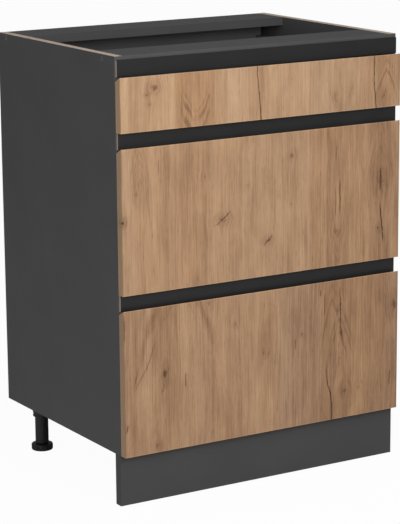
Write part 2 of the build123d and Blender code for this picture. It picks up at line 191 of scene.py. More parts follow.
def section(points, move):
    """A bar whose closed outline is drawn from point to point and then extruded by a move."""
    piece = draw([*points, points[0]])
    close_up()
    bpy.ops.mesh.edge_face_add()
    bpy.ops.mesh.extrude_region_move(TRANSFORM_OT_translate={"value": metres(move)})
    close_up()
    return settle(piece)


def turned(profile, place=(0, 0, 0), axis="Z", steps=24):
    """A turned piece from (radius, height) pairs. The first and last radius may be 0."""
    along = AXES.index(axis)
    points = []
    for radius, height in profile:
        point = list(place)
        point[along] += height
        point[(along + 1) % 3] += radius
        points.append(point)
    piece = draw(points)
    bpy.ops.mesh.select_all(action="SELECT")
    direction = Vector([i == along for i in range(3)])
    bpy.ops.mesh.spin(
        steps=steps, angle=2 * math.pi, center=metres(place), axis=direction, dupli=False,
    )
    close_up(2e-6)
    return settle(piece)


def shaped(piece, kind, **settings):
    """Adds a modifier with these settings and applies it."""
    hold(piece)
    step = piece.modifiers.new(kind.title(), kind)
    for name, value in settings.items():
        setattr(step, name, value)
    bpy.ops.object.modifier_apply(modifier=step.name)
    return piece


def eased(piece, width, segments=2, angle=30):
    """Rounds the sharp edges."""
    return shaped(
        piece, "BEVEL", width=width * MM, segments=segments, limit_method="ANGLE",
        angle_limit=math.radians(angle), use_clamp_overlap=True,
    )


def joined(*pieces):
    """Joins pieces into the first one."""
    hold(*pieces)
    if len(pieces) > 1:
        bpy.ops.object.join()
    return pieces[0]


def cut(piece, *cutters):
    """Takes the cutters' shape out of a piece and removes them."""
    cutter = joined(*cutters)
    shaped(piece, "BOOLEAN", operation="DIFFERENCE", object=cutter, solver="EXACT")
    bpy.data.objects.remove(cutter)
    return piece


def copied(piece, move=(0, 0, 0), flip=None, turn=0, about=(0, 0, 0)):
    """A copy with its own mesh: turned about an upright axis, flipped across one, then moved."""
    other = bpy.data.objects.new(piece.name, piece.data.copy())
    bpy.context.collection.objects.link(other)
    hold(other)
    if turn:
        bpy.ops.transform.rotate(value=-turn, orient_axis="Z", center_override=metres(about))
    if flip:
        other.scale[AXES.index(flip)] = -1
    other.location = Vector(other.location) + metres(move)
    settle(other)
    if flip:
        bpy.ops.object.mode_set(mode="EDIT")
        close_up()
        leave_edit()
    return other


def placed(master, places):
    """Copies of a master at places given as (move, flip), joined, with the master removed."""
    made = joined(*[copied(master, move, flip) for move, flip in places])
    bpy.data.objects.remove(master)
    return made


def both_sides(x, rows, flipped=0):
    """Places at (y, z) rows on the left and then the right. One side may be flipped across X."""
    return [
        ((side * x, y, z), "X" if side == flipped else None) for side in SIDES for y, z in rows
    ]


def eased_board(node, width):
    """A copy of a board's CAD mesh, merged, flattened and with its sharp edges eased."""
    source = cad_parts[node]
    board = bpy.data.objects.new(node, source.data.copy())
    bpy.context.collection.objects.link(board)
    board.data.materials.clear()
    hold(board)
    bpy.ops.object.mode_set(mode="EDIT")
    close_up()
    bpy.ops.mesh.dissolve_limited(angle_limit=math.radians(1))
    leave_edit()
    return eased(board, width)


def finished(piece, name, body, finish, slot, *nodes, angle=35):
    """Names a piece, gives it its finish, and hands it to the frame, standing for these nodes."""
    hold(piece)
    piece.name = name
    piece.data.name = name
    piece.data.materials.clear()
    piece.data.materials.append(finishes()[finish])
    bpy.ops.object.shade_smooth_by_angle(angle=math.radians(angle))
    shaped(piece, "WEIGHTED_NORMAL", keep_sharp=True)
    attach(piece, body)
    if nodes:
        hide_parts(*nodes)
    leave_edit()


# ---- Shader maths ------------------------------------------------------------------------------
class Value:
    """A number that varies over a surface. Sums on it add Math nodes."""

    def __init__(self, shader, socket):
        self.shader, self.socket = shader, socket

    def math(self, operation, *others, clamp=False):
        settings = {"operation": operation, "use_clamp": clamp}
        return self.shader.node("Math", settings, dict(enumerate((self, *others))))

    def __add__(self, other):
        return self.math("ADD", other)

    def __sub__(self, other):
        return self.math("SUBTRACT", other)

    def __mul__(self, other):
        return self.math("MULTIPLY", other)

    def __truediv__(self, other):
        return self.math("DIVIDE", other)

    __radd__, __rmul__ = __add__, __mul__

    def __rsub__(self, other):
        return self.shader.node("Math", {"operation": "SUBTRACT"}, {0: other, 1: self})

    def __abs__(self):
        return self.math("ABSOLUTE")

    def __gt__(self, other):
        return self.math("GREATER_THAN", other)

    def kept(self):
        """Held between 0 and 1."""
        return self.math("ADD", 0.0, clamp=True)

    def rising(self, low, high):
        """0 at low and 1 at high, smooth between them. Low may be the larger one."""
        settings = {"interpolation_type": "SMOOTHSTEP", "clamp": False}
        values = {"Value": self, "From Min": low, "From Max": high}
        return self.shader.node("MapRange", settings, values)


class Shader:
    """The nodes of a material or of the world, all made by node()."""

    def __init__(self, name, kind="Material"):
        self.kind = kind
        self.holder = (bpy.data.worlds if kind == "World" else bpy.data.materials).new(name)
        self.holder.use_nodes = True
        self.tree = self.holder.node_tree
        self.tree.nodes.clear()

    def node(self, kind, settings=None, values=None, output=0):
        made = self.tree.nodes.new("ShaderNode" + kind)
        for name, value in (settings or {}).items():
            if name == "stops":
                ramp = made.color_ramp
                while len(ramp.elements) < len(value):
                    ramp.elements.new(0.5)
                for element, (position, colour) in zip(ramp.elements, value):
                    element.position, element.color = position, (*colour, 1)
            elif name == "line":
                curve = made.mapping.curves[0]
                while len(curve.points) < len(value):
                    curve.points.new(0.5, 0.5)
                for point, place in zip(curve.points, value):
                    point.location, point.handle_type = place, "AUTO"
                made.mapping.update()
            else:
                setattr(made, name, value)
        for name, value in (values or {}).items():
            if isinstance(value, Value):
                self.tree.links.new(value.socket, made.inputs[name])
            else:
                made.inputs[name].default_value = value
        return Value(self, made.outputs[output] if made.outputs else None)

    def axes(self, coordinates):
        """Texture coordinates as x, y and z."""
        texture = self.node("TexCoord", None, None, coordinates)
        split = self.node("SeparateXYZ", None, {0: texture})
        return [Value(self, socket) for socket in split.socket.node.outputs]

    def place(self):
        """The place on the object, in millimetres, as x, y and z."""
        return [value * 1000 for value in self.axes("Object")]

    def end_grain(self):
        """1 on faces that look left or right."""
        return abs(self.axes("Normal")[0]) > 0.75

    def towards(self, directions):
        """1 on faces that look in one of these directions, such as +Z."""
        facing = dict(zip(AXES, self.axes("Normal")))
        mask = None
        for sign, axis in directions.split():
            part = facing[axis] * (1 if sign == "+" else -1) > 0.75
            mask = part if mask is None else mask.math("MAXIMUM", part)
        return mask

    def vector(self, x, y, z):
        return self.node("CombineXYZ", None, {0: x, 1: y, 2: z})

    def length(self, vector):
        return self.node("VectorMath", {"operation": "LENGTH"}, {0: vector}, "Value")

    def noise(self, vector, scale=1.0, detail=2.0, roughness=0.5):
        """Cloudy noise around 0.5."""
        values = {"Vector": vector, "Scale": scale, "Detail": detail, "Roughness": roughness}
        return self.node("TexNoise", None, values)

    def ramp(self, factor, *stops):
        """A colour that follows a factor through these stops."""
        return self.node("ValToRGB", {"stops": stops}, {"Fac": factor})

    def blend(self, factor, first, second, kind="MIX"):
        """Colours mixed by a factor."""
        first, second = [
            value if isinstance(value, Value) else (*value, 1.0) for value in (first, second)
        ]
        settings = {"data_type": "RGBA", "blend_type": kind}
        return self.node("Mix", settings, {0: factor, 6: first, 7: second}, 2)

    def surface(self, base, rough, height, strength, depth, **constants):
        """Ends the material as one surface, bumped by a height up to a depth."""
        bump = {"Height": height, "Strength": strength, "Distance": depth * MM}
        return self.shown(self.node("BsdfPrincipled", None, {
            "Base Color": base, "Roughness": rough.kept(), "Normal": self.node("Bump", None, bump),
            **{name.replace("_", " "): value for name, value in constants.items()},
        }))

    def shown(self, shader):
        """Ends the material or the world at this shader."""
        self.node(f"Output{self.kind}", None, {"Surface": shader})
        return self.holder


def tone(red, green, blue):
    """A colour from 0 to 255 as seen on a screen, made linear."""
    parts = [part / 255 for part in (red, green, blue)]
    return tuple(
        part / 12.92 if part <= 0.04045 else ((part + 0.055) / 1.055) ** 2.4 for part in parts
    )


def scaled(shade, factor):
    """A colour made lighter or darker."""
    return [min(part * factor, 1) for part in shade]


def shades(shade, dark, light):
    """Ramp stops for a colour that varies between two lightnesses."""
    return (0.3, scaled(shade, dark)), (0.7, scaled(shade, light))


# ---- Finishes ----------------------------------------------------------------------------------
def chipboard(shader, place):
    """Raw chipboard: pale chips of many sizes in a darker binder."""
    chips = {"Vector": place, "Scale": 0.55}
    chips = shader.node("TexVoronoi", {"feature": "F1"}, chips, "Color")
    flake = shader.node("SeparateColor", None, {0: chips})
    return shader.ramp(
        flake * 0.55 + shader.noise(place, 1.4, 3, 0.7) * 0.45,
        (0.15, tone(140, 118, 100)), (0.42, tone(212, 190, 171)), (0.75, tone(238, 222, 205)),
    )


def melamine(name, shade, raw=""):
    """Matte melamine with a fine pearl. Faces in the raw directions show the chipboard."""
    shader = Shader(name)
    place = shader.vector(*shader.place())
    pearl = shader.noise(place, 1.1, 3, 0.65)
    cloud = shader.noise(place, 0.009, 3)
    smudge = shader.noise(place, 0.045, 4, 0.7)
    surface = shader.ramp(pearl * 0.6 + cloud * 0.4, *shades(shade, 0.86, 1.14))
    rough, height = 0.4 + pearl * 0.14 + smudge * 0.08, pearl
    if raw:
        core = shader.towards(raw)
        surface = shader.blend(core, surface, chipboard(shader, place))
        rough = rough + core * 0.35
        height = height + core * shader.noise(place, 0.9, 4, 0.7) * 4
    return shader.surface(surface, rough, height, 0.5, 0.06, Specular_IOR_Level=0.35)


def crack(shader, tear, x, z, points, width, depth):
    """A dark line through (x, z) points from low to high, fading out at its ends."""
    low, high = points[0][1], points[-1][1]
    left, right = min(point[0] for point in points) - 1, max(point[0] for point in points) + 1
    line = [((pz - low) / (high - low), (px - left) / (right - left)) for px, pz in points]
    along = (z - low) / (high - low)
    course = shader.node("FloatCurve", {"line": line}, {"Value": along}) * (right - left) + left
    off = abs(x - course - (tear - 0.5) * 3)
    ends = along.rising(0, 0.3) * along.rising(1, 0.7)
    core = off.rising(tear * width * 0.9 + 0.2, 0.1)
    return (core + off.rising(width * 2.2, 0) * 0.16) * ends * depth


OAK_TONES = (
    (0.0, tone(36, 24, 17)), (0.2, tone(94, 67, 48)), (0.36, tone(140, 107, 80)),
    (0.5, tone(170, 135, 103)), (0.62, tone(189, 154, 119)), (0.8, tone(208, 176, 141)),
    (1.0, tone(224, 198, 166)),
)


def oak(name, low, high, figure):
    """Oak decor with upright grain between two heights. A figure lists what grows in it."""
    shader = Shader(name)
    noise, vector = shader.noise, shader.vector
    x, y, z = shader.place()
    sway = noise(vector(x * 0.012, y, z * 0.0035))
    across = x + (sway - 0.5) * 16
    stir_x = (noise(vector(x, y, z * 0.7), 0.13, 3, 0.7) - 0.5) * 3
    stir_z = (noise(vector(z, x, y), 0.11, 3, 0.7) - 0.5) * 3
    flat, stir = vector(x, 0.0, z), vector(stir_x, 0.0, stir_z)
    dark = 0.0
    for knot_x, knot_z, width, height, depth in figure["knots"]:
        values = {"Vector": flat, "Location": (knot_x, 0, knot_z), "Scale": (width, 1, height)}
        spot = shader.node("Mapping", {"vector_type": "TEXTURE"}, values)
        near = shader.length(spot)
        side = shader.node("SeparateXYZ", None, {0: spot})
        across = across - side * near.rising(3.4, 0.4) * width * 0.6
        far = shader.length(shader.node("VectorMath", {"operation": "ADD"}, {0: spot, 1: stir}))
        swirl = abs(far - 2.1).rising(0.9, 0) * 0.07 + far.rising(3.4, 0.3) * 0.24
        dark = dark + (far.rising(1.0, 0.1) * 0.75 + swirl) * near.rising(4, 1.5) * depth
    fine = noise(vector(across * 0.42, y * 0.1, z * 0.011), 1, 3, 0.62)
    broad = noise(vector(across * 0.085, y * 0.05, z * 0.0022 + 7), 1, 3, 0.55)
    blotch = noise(vector(across * 0.034, y * 0.05, z * 0.012 + 3), 1, 3, 0.6)
    pores = noise(vector(across * 1.5, y, z * 0.055))
    fleck = noise(vector(across * 0.2, y, z * 0.07))
    bands = shader.ramp(
        (x + (fine - 0.5) * 5 + (sway - 0.5) * 6 + 300) / 600,
        *[((left + 300) / 600, (0.5 + (light - 1) / 3.2, warm, 0))
          for left, light, warm in figure["bands"]],
    )
    bands.socket.node.color_ramp.interpolation = "CONSTANT"
    parts = shader.node("SeparateColor", None, {0: bands})
    warm = Value(shader, parts.socket.node.outputs[1])
    for place, half, tip, rise, way, spacing, strength in figure["arches"]:
        off = abs(across - place) / half
        level = (z - tip) * way - off.math("POWER", 1.6) * rise
        rings = vector(level / spacing + (broad - 0.5) * 3, off * 0.5, place)
        lobe = off.rising(1.05, 0.6) * level.rising(12, -6) * level.rising(-rise * 2.4, -rise)
        dark = dark + noise(rings, 1, 1).rising(0.44, 0.66) * lobe * strength
    tear = noise(vector(x * 0.05, y, z * 0.11), 1, 3, 0.7)
    torn = across * 0.15 + x * 0.85
    for points, width, depth in figure["cracks"]:
        dark = dark + crack(shader, tear, torn, z, points, width, depth)
    # Lighter within about 2 mm of the front's top and bottom: a painted highlight along those
    # edges.
    edge = (z - low).math("MINIMUM", high - z).rising(1.8, 0.6) * 0.09
    band = shader.end_grain()
    # Darker within about 1.5 mm of the face's left and right ends.
    dark_end_line = (299.5 - abs(x)).rising(1.6, 1.0) * (1 - band) * 0.16
    # The figure's level darkens the lower fronts: partly their own tone and partly painted shade.
    light = (
        parts + figure["level"] + (fine - 0.5) * 0.3 + (broad - 0.5) * 0.16
        + (blotch - 0.5) * 0.24 + edge - (pores.rising(0.56, 0.7) * fleck.rising(0.42, 0.6)) * 0.11
        - dark - dark_end_line - band * 0.02
    )
    tint = shader.blend(warm, (0.96, 1.0, 1.09), (1.03, 0.985, 0.92))
    wood = shader.blend(1.0, shader.ramp(light.kept(), *OAK_TONES), tint, "MULTIPLY")
    wood = shader.blend(band * 0.55, wood, tone(176, 150, 122))
    rough = 0.5 + (fine - 0.5) * 0.25 + dark * 0.3
    height = (fine - 0.5) * 0.5 - pores.rising(0.54, 0.7) - dark * 1.5
    return shader.surface(wood, rough, height, 0.35, 0.12, Specular_IOR_Level=0.2)


def foil(name, shade):
    """Dark satin foil over fibreboard. The sawn ends show the pale board."""
    shader = Shader(name)
    x, y, z = shader.place()
    place = shader.vector(x, y, z)
    brushed = shader.noise(shader.vector(x * 0.02, y, z * 1.6), 1, 3, 0.6)
    cloud = shader.noise(place, 0.02)
    sawn = shader.end_grain()
    fibre = shader.noise(place, 1.5, 4, 0.7)
    dark = shader.ramp(brushed * 0.6 + cloud * 0.4, *shades(shade, 0.85, 1.15))
    pale = shader.ramp(fibre, (0.3, tone(150, 126, 112)), (0.7, tone(196, 176, 162)))
    rough = 0.3 + brushed * 0.14 + sawn * 0.45
    height = brushed + sawn * fibre * 4
    surface = shader.blend(sawn, dark, pale)
    return shader.surface(surface, rough, height, 0.4, 0.05, Specular_IOR_Level=0.26)


def hardboard(name, shade, printed):
    """Brown hardboard with a mesh pattern, and a printed face in the printed direction."""
    shader = Shader(name)
    x, y, z = shader.place()
    place = shader.vector(x, y, z)
    fibre = shader.noise(place, 0.8, 5, 0.75)
    cloud = shader.noise(place, 0.012, 3)
    print_mask = shader.towards(printed)
    along = z if printed[1] == "Y" else y
    mesh = (x * 2.6).math("SINE") * (along * 2.6).math("SINE")
    brown = shader.ramp(
        fibre * 0.7 + cloud * 0.3,
        (0.25, tone(86, 60, 40)), (0.5, tone(122, 88, 60)), (0.75, tone(150, 114, 82)),
    )
    dark = shader.ramp(fibre * 0.5 + cloud * 0.5, *shades(shade, 0.85, 1.15))
    height = (mesh * 0.35 + fibre * 2) * (1 - print_mask) + fibre * 0.4 * print_mask
    surface = shader.blend(print_mask, brown, dark)
    rough = 0.78 - print_mask * 0.32
    return shader.surface(surface, rough, height, 0.5, 0.12, Specular_IOR_Level=0.35)


def metal(name, shade, rough, along="Y", worn=0.0):
    """Plated sheet or wire, with rolling streaks along an axis and dull cloudy patches."""
    shader = Shader(name)
    axes = shader.place()
    place = shader.vector(*axes)
    stretched = [part * (0.03 if axis == along else 1.1) for axis, part in zip(AXES, axes)]
    streak = shader.noise(shader.vector(*stretched), 1, 3, 0.6)
    patch = shader.noise(place, 0.12, 4, 0.65)
    fine = shader.noise(place, 2.2, 2, 0.6)
    dark, light = shades(shade, 0.78 - worn * 0.3, 1.15)
    surface = shader.ramp(streak * 0.75 + patch * 0.25, dark, (0.5, shade), light)
    dull = rough + (streak - 0.5) * 0.18 + (patch - 0.5) * (0.08 + worn * 0.15)
    dull = dull + (fine - 0.5) * 0.04
    return shader.surface(surface, dull, streak + fine * 0.3, 0.3, 0.04, Metallic=1.0)


def plastic(name, shade, rough=0.5, grain=1.3):
    """Moulded plastic with a fine spark-eroded grain."""
    shader = Shader(name)
    place = shader.vector(*shader.place())
    fine = shader.noise(place, grain, 3, 0.6)
    cloud = shader.noise(place, 0.05, 3)
    surface = shader.ramp(fine * 0.4 + cloud * 0.6, *shades(shade, 0.8, 1.3))
    dull = rough + (fine - 0.5) * 0.2 + (cloud - 0.5) * 0.15
    return shader.surface(surface, dull, fine, 0.45, 0.1, Specular_IOR_Level=0.45)


def beech(name):
    """Raw beech dowel, with fine rays along it."""
    shader = Shader(name)
    x, y, z = shader.place()
    fibre = shader.noise(shader.vector(x * 0.12, y * 1.6, z * 1.6), 1, 3, 0.6)
    ray = shader.noise(shader.vector(x * 0.35, y * 2.5, z * 2.5), 1, 1).rising(0.6, 0.68)
    wood = shader.ramp(
        fibre - ray * 0.2,
        (0.2, tone(164, 124, 88)), (0.5, tone(204, 166, 126)), (0.8, tone(222, 190, 152)),
    )
    return shader.surface(wood, 0.62 + fibre * 0.2, fibre, 0.4, 0.1)


# What grows in each front's decor. Level: a lightness shift for the whole front, lower on the
# lower fronts: partly their own tone, partly painted shade for the light's fall-off downwards.
# Bands: left edge, lightness, warmth. Knots: x, z, half width, half height, depth. Arches:
# middle, half width, tip, rise, way, spacing, strength. Cracks: points, width, depth.
FIGURES = {
    "top": {
        "level": 0.02,
        "bands": (
            (-300, 1.2, 0.4), (-284, 1.05, 0.55), (-216, 1.12, 0.45), (-190, 0.87, 0.85),
            (-108, 1.06, 0.5), (-84, 1.17, 0.3), (-36, 1.0, 0.5), (-4, 1.1, 0.4),
            (92, 1.06, 0.15), (148, 1.0, 0.3), (212, 0.92, 0.5), (248, 0.86, 0.6),
        ),
        "knots": (
            (-230, 758, 8, 6, 0.26), (-246, 746, 3, 3, 0.2), (-240, 730, 4, 3, 0.14),
            (154, 716, 6, 8, 0.1), (262, 704, 7, 9, 0.16), (58, 752, 4, 5, 0.08),
        ),
        "arches": (
            (-147, 34, 716, 55, 1, 11, 0.12), (168, 40, 700, 60, 1, 12, 0.08),
            (268, 26, 745, 60, -1, 10, 0.1),
        ),
        "cracks": (
            (((-9, 620), (-10, 683), (-12, 718), (-15, 750), (-17, 778), (-17, 840)), 1.7, 0.48),
            (((246, 620), (245, 683), (243, 710), (240, 732), (241, 778), (241, 840)), 1.7, 0.5),
            (((77, 684), (76, 776)), 1.6, 0.12), (((-178, 690), (-176, 742)), 1.4, 0.14),
        ),
    },
    "middle": {
        "level": -0.025,
        "bands": (
            (-300, 1.16, 0.35), (-276, 1.04, 0.55), (-224, 1.0, 0.5), (-180, 0.97, 0.6),
            (-126, 1.07, 0.45), (-56, 1.07, 0.35), (94, 0.98, 0.6), (132, 0.9, 0.65),
            (186, 0.95, 0.6), (232, 0.82, 0.5), (276, 0.9, 0.45),
        ),
        "knots": (
            (-94, 509, 11, 6, 0.2), (-297, 526, 4, 5, 0.42), (-269, 570, 5, 9, 0.12),
            (58, 610, 5, 6, 0.18), (4, 459, 7, 5, 0.2), (56, 522, 4, 5, 0.1),
            (252, 455, 3, 5, 0.26), (255, 545, 13, 26, 0.11), (157, 459, 7, 6, 0.06),
            (-130, 591, 4, 4, 0.08), (-39, 566, 4, 5, 0.1),
        ),
        "arches": (
            (-262, 26, 590, 130, -1, 15, 0.05), (157, 26, 462, 150, 1, 16, 0.05),
            (256, 30, 600, 140, -1, 14, 0.06),
        ),
        "cracks": (
            (((163, 484), (164, 515), (163, 561)), 2.0, 0.36),
            (((152, 484), (155, 515), (153, 548)), 1.7, 0.22),
            (((263, 420), (262, 441), (260, 463), (257, 487), (255, 512)), 2.6, 0.46),
            (((255, 520), (257, 577)), 2.2, 0.16), (((155, 588), (156, 625)), 1.6, 0.2),
            (((-224, 600), (-224, 636)), 1.7, 0.18),
            (((-110, 496), (-94, 508), (-72, 526)), 2.0, 0.42),
            (((-6, 449), (4, 458), (16, 471)), 1.8, 0.36),
        ),
    },
    "bottom": {
        "level": -0.05,
        "bands": (
            (-300, 1.0, 0.45), (-276, 1.09, 0.4), (-244, 0.97, 0.55), (-184, 1.13, 0.45),
            (-156, 1.2, 0.3), (-120, 1.07, 0.5), (-64, 1.11, 0.45), (-12, 1.03, 0.55),
            (22, 1.05, 0.15), (58, 0.95, 0.25), (124, 0.88, 0.6), (190, 0.95, 0.75),
            (226, 0.86, 0.55), (268, 0.9, 0.4),
        ),
        "knots": (
            (-65, 311, 3, 4, 0.2), (-215, 242, 4, 12, 0.24), (-219, 214, 4, 12, 0.16),
            (65, 248, 2, 2, 0.2), (79, 272, 3, 4, 0.2), (177, 151, 7, 8, 0.14),
            (290, 303, 8, 13, 0.24), (-233, 109, 6, 5, 0.14), (-122, 357, 4, 6, 0.16),
            (209, 152, 6, 5, 0.1), (-4, 248, 2, 6, 0.16), (6, 246, 2, 5, 0.14),
        ),
        "arches": (
            (-186, 92, 372, 190, -1, 22, 0.11), (148, 34, 318, 150, -1, 15, 0.09),
            (168, 30, 196, 90, -1, 12, 0.08),
        ),
        "cracks": (
            (((-173, 206), (-173, 240)), 2.0, 0.28),
            (((186, 203), (182, 221), (171, 253), (167, 296), (166, 334), (161, 364)), 2.0, 0.3),
            (((148, 50), (148, 100), (147, 132), (143, 156), (137, 178), (138, 230)), 2.0, 0.42),
            (((131, 295), (131, 348)), 1.7, 0.26), (((121, 337), (122, 353)), 1.7, 0.24),
            (((66, 249), (66, 266)), 1.7, 0.3), (((-297, 140), (-292, 158)), 2.0, 0.34),
            (((-298, 300), (-298, 362)), 1.8, 0.26), (((281, 140), (282, 178)), 1.8, 0.28),
            (((-285, 205), (-274, 225), (-249, 266), (-233, 312)), 2.6, 0.16),
            (((-284, 213), (-277, 234), (-269, 264)), 2.2, 0.14),
        ),
    },
}
MADE = {}


def finishes():
    """All finishes by name, made once."""
    if MADE:
        return MADE
    boards, fittings = bpy.context.scene.cabinet_boards, bpy.context.scene.cabinet_fittings
    board, drawer = boards.board_colour[:], boards.drawer_colour[:]
    steel, black = fittings.steel_colour[:], fittings.plastic_colour[:]
    MADE.update(
        panel=melamine("Anthracite Panel", board, "+Z -Z +Y"),
        shelf=melamine("Anthracite Board", board, "+Y"),
        rail=melamine("Anthracite Rail", board),
        # The plinth's melamine is the board colour darkened by 0.78: painted shade, holding back
        # the light the low front lamp throws on it.
        plinth=melamine("Shaded Anthracite Plinth", scaled(board, 0.78), "-Z"),
        # The drawer colour carries painted light for the dim inside; the hardboards' printed faces
        # take it too.
        drawer_board=melamine("Drawer Board", drawer, "-Z"),
        strip=foil("Strip Foil", boards.strip_colour[:]),
        back=hardboard("Back Hardboard", drawer, "-Y"),
        base=hardboard("Drawer Base Hardboard", drawer, "+Z"),
        zinc=metal("Bright Zinc", steel, 0.32),
        screw=metal("Zinc Screw", scaled(steel, 0.85), 0.3, "X", 0.4),
        dull_screw=metal("Dull Screw", scaled(steel, 0.42), 0.55, "X", 0.6),
        cam=metal("Zinc Cam", scaled(steel, 0.8), 0.42, "X", 0.8),
        cage=metal("Cage Sheet", scaled(steel, 0.62), 0.4, "Y", 0.5),
        ball=metal("Bearing Ball", (0.72, 0.72, 0.73), 0.12),
        plastic=plastic("Black Plastic", black),
        smooth_plastic=plastic("Smooth Black Plastic", black, 0.38, 0.5),
        beech=beech("Beech Dowel"),
    )
    for name in DRAWERS:
        low, high = box(f"drawer_front_{name}")
        MADE[f"oak_{name}"] = oak(f"Oak Decor {name.title()}", low.z, high.z, FIGURES[name])
    return MADE


def dressed(node, finish):
    """Gives a CAD node that keeps its shape its finish."""
    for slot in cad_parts[node].material_slots:
        slot.link = "DATA"
        slot.material = finishes()[finish]


# ---- Settings ----------------------------------------------------------------------------------
def colour(name, description, default):
    return bpy.props.FloatVectorProperty(
        name=name, description=description, subtype="COLOR", size=3, default=default,
    )


def small_size(name, description, default):
    return bpy.props.FloatProperty(
        name=name, description=description, unit="LENGTH", precision=5, default=default * MM,
    )


def angle(name, description, degrees):
    return bpy.props.FloatProperty(
        name=name, description=description, subtype="ANGLE", default=math.radians(degrees),
    )


def power(name, description, watts):
    return bpy.props.FloatProperty(
        name=name, description=description, unit="POWER", default=watts,
    )


class BoardSettings(bpy.types.PropertyGroup):
    """Boards, strips and fronts."""

    board_colour: colour(
        "Board Colour", "Melamine of the carcass and the plinth", tone(74, 74, 75),
    )
    # Lighter than the board colour: painted light that brightens the drawer boxes and the back
    # inside the dim cabinet.
    drawer_colour: colour("Drawer Colour", "Melamine of the drawer boxes", tone(82, 82, 83))
    strip_colour: colour("Strip Colour", "Foil of the grip strips", tone(38, 38, 39))
    easing: small_size("Edge Rounding", "Radius of the boards' edges", 0.4)
    front_easing: small_size("Front Edge Rounding", "Radius of the fronts' edges", 0.8)


class FittingSettings(bpy.types.PropertyGroup):
    """Runners, screws, cams, legs and nails."""

    steel_colour: colour(
        "Steel Colour", "Zinc plating of runners and screws", (0.62, 0.63, 0.65),
    )
    plastic_colour: colour(
        "Plastic Colour", "Moulded legs, sockets and clips", tone(36, 36, 37),
    )
    balls_per_row: bpy.props.IntProperty(
        name="Balls per Row", description="Steel balls in each row of a cage", default=10,
        min=2, max=20,
    )
    nails_per_side: bpy.props.IntProperty(
        name="Nails per Side", description="Nails along each upright edge of the back panel",
        default=7, min=2,
    )
    thread_pitch: small_size("Thread Pitch", "Pitch of the screw feet's thread", 2)


class StageSettings(bpy.types.PropertyGroup):
    """Floor, lamps and camera."""

    floor_colour: colour("Floor Colour", "Plain pale floor", (0.86, 0.86, 0.86))
    camera_place: bpy.props.FloatVectorProperty(
        name="Camera Place", description="Where the camera stands", subtype="TRANSLATION",
        unit="LENGTH", size=3, default=(-2.1157, -3.4854, 1.2839),
    )
    azimuth: angle("Azimuth", "Turn of the view round the cabinet", -31.274)
    elevation: angle("Elevation", "How far the camera looks down", 12.55)
    roll: angle("Roll", "Turn of the camera about its line of sight", -0.477)
    lens: bpy.props.FloatProperty(
        name="Lens", description="Focal length for a sensor 36 mm long", unit="CAMERA",
        default=149.52,
    )
    key_power: power("Key Power", "Power of the high front lamp", 13.5)
    front_power: power("Front Power", "Power of the low front lamp", 26.5)
    side_power: power("Side Power", "Power of the lamp on the left", 45)
    sky: bpy.props.FloatProperty(
        name="Sky Strength", description="Even light from all round", default=0.26, min=0,
    )


# ---- Boards ------------------------------------------------------------------------------------
class CABINET_OT_carcass_boards(bpy.types.Operator):
    """Side panels, bottom panel, rails and plinth board with eased edges"""

    bl_idname = "cabinet.carcass_boards"
    bl_label = "Carcass Boards"

    def execute(self, context):
        easing = context.scene.cabinet_boards.easing / MM
        for node, finish in (
            ("side_panel_left", "panel"), ("side_panel_right", "panel"), ("bottom_panel", "shelf"),
            ("front_rail", "rail"), ("rear_rail", "shelf"), ("plinth_board", "plinth"),
        ):
            board = eased_board(node, easing)
            finished(board, f"{node}_board", "carcass", finish, "anthracite_board", node)
        return {"FINISHED"}


class CABINET_OT_back_panel(bpy.types.Operator):
    """Hardboard back with its nails"""

    bl_idname = "cabinet.back_panel"
    bl_label = "Back Panel"

    def execute(self, context):
        low, high = box("back_panel")
        head_height, edge_gap, end_gap = 0.3, 3.6, 50
        rear = high.y - head_height
        panel = eased(block(low, (high.x, rear, high.z)), 0.3)
        finished(panel, "back_board", "carcass", "back", "dark_hardboard", "back_panel")
        nail = turned(
            [(0, head_height), (1.4, 0.24), (2.1, 0.1), (2.2, -0.1), (0.8, -0.6), (0.8, -9),
             (0, -11)],
            (0, rear, 0), "Y", 12,
        )
        steps = context.scene.cabinet_fittings.nails_per_side - 1
        height = high.z - low.z - 2 * end_gap
        rises = [low.z + end_gap + height * step / steps for step in range(steps + 1)]
        places = [(side * (high.x - edge_gap), z) for side in SIDES for z in rises]
        places += [
            (x, z) for x in (-200, -66, 66, 200)
            for z in (CARCASS_LOW + HALF_BOARD, CARCASS_TOP - HALF_BOARD)
        ]
        nails = placed(nail, [((x, 0, z), None) for x, z in places])
        finished(nails, "back_nails", "carcass", "screw", "zinc_fitting")
        return {"FINISHED"}


class CABINET_OT_grip_strips(bpy.types.Operator):
    """Dark strips behind the grip gaps, with rounded long edges"""

    bl_idname = "cabinet.grip_strips"
    bl_label = "Grip Strips"

    def execute(self, context):
        for name in ("top", "middle", "lower"):
            node = f"grip_strip_{name}"
            low, high = box(node)
            strip = block(low, high)
            pick_edges(strip, lambda place, way: abs(way.x) > 0.9 and place.y < low.y + 1)
            bpy.ops.mesh.bevel(offset=1.6 * MM, segments=4, affect="EDGES")
            leave_edit()
            strip = eased(strip, 0.15, 1)
            finished(strip, f"{node}_moulding", "carcass", "strip", "grip_strip", node)
        return {"FINISHED"}


class CABINET_OT_drawer_fronts(bpy.types.Operator):
    """Oak fronts with a finger bevel along the top and eased edges"""

    bl_idname = "cabinet.drawer_fronts"
    bl_label = "Drawer Fronts"

    def execute(self, context):
        easing = context.scene.cabinet_boards.front_easing / MM
        for name in DRAWERS:
            node = f"drawer_front_{name}"
            low, high = box(node)
            outline = (
                (low.y, low.z), (high.y, low.z), (high.y, high.z - FRONT_BEVEL_DROP),
                (low.y + FRONT_LAND, high.z), (low.y, high.z),
            )
            front = section([(low.x, y, z) for y, z in outline], (high.x - low.x, 0, 0))
            eased(front, easing, 3, 20)
            finished(
                front, f"oak_front_{name}", f"drawer_{name}", f"oak_{name}", "oak_front", node,
            )
        return {"FINISHED"}


